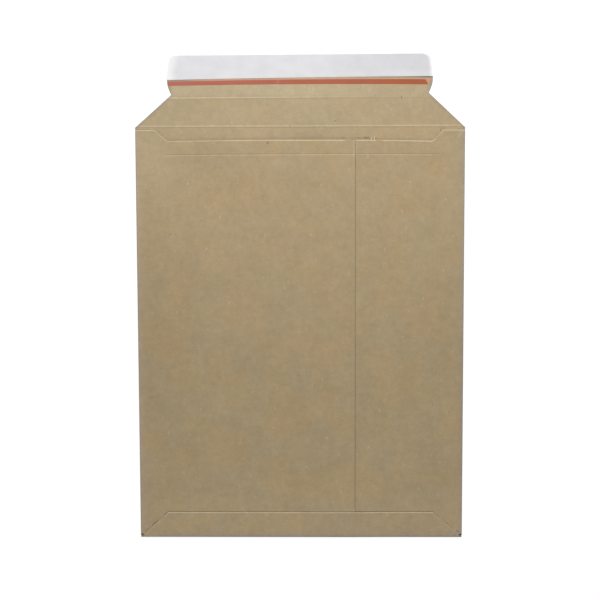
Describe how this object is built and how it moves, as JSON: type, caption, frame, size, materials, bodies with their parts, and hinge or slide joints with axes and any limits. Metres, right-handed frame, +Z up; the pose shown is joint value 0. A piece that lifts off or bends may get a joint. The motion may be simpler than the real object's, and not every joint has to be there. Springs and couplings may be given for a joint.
{
  "type": "cardboard envelope",
  "caption": "Flat rigid mailing envelope of solid board with an open closure flap, tear tape, lined adhesive strip, side seam and glued bottom flap.",
  "frame": {"origin": "middle of the bottom of the whole envelope with its flap open, on the surface that it lies on", "axes": "+X across the envelope towards the narrow front panel, +Y along it from the bottom fold to the open flap, +Z up out of the front panels"},
  "size_m": [0.25, 0.3748, 0.0063],
  "materials": {
    "board": "matt uncoated grey-brown recycled solid board",
    "tape": "satin red-orange film",
    "adhesive": "tacky translucent cream film",
    "liner": "smooth white release paper"
  },
  "bodies": {
    "pocket_body": {"pocket": "board"},
    "flap_body": {"closure_flap": "board", "tear_tape": "tape", "adhesive_strip": "adhesive", "release_liner": "liner"}
  },
  "joints": [
    {"name": "flap_fold", "type": "hinge", "parent": "pocket_body", "child": "flap_body", "pos_m": [0, 0.1326, 0.00075], "axis": [1, 0, 0], "range_deg": [0, 150]}
  ]
}
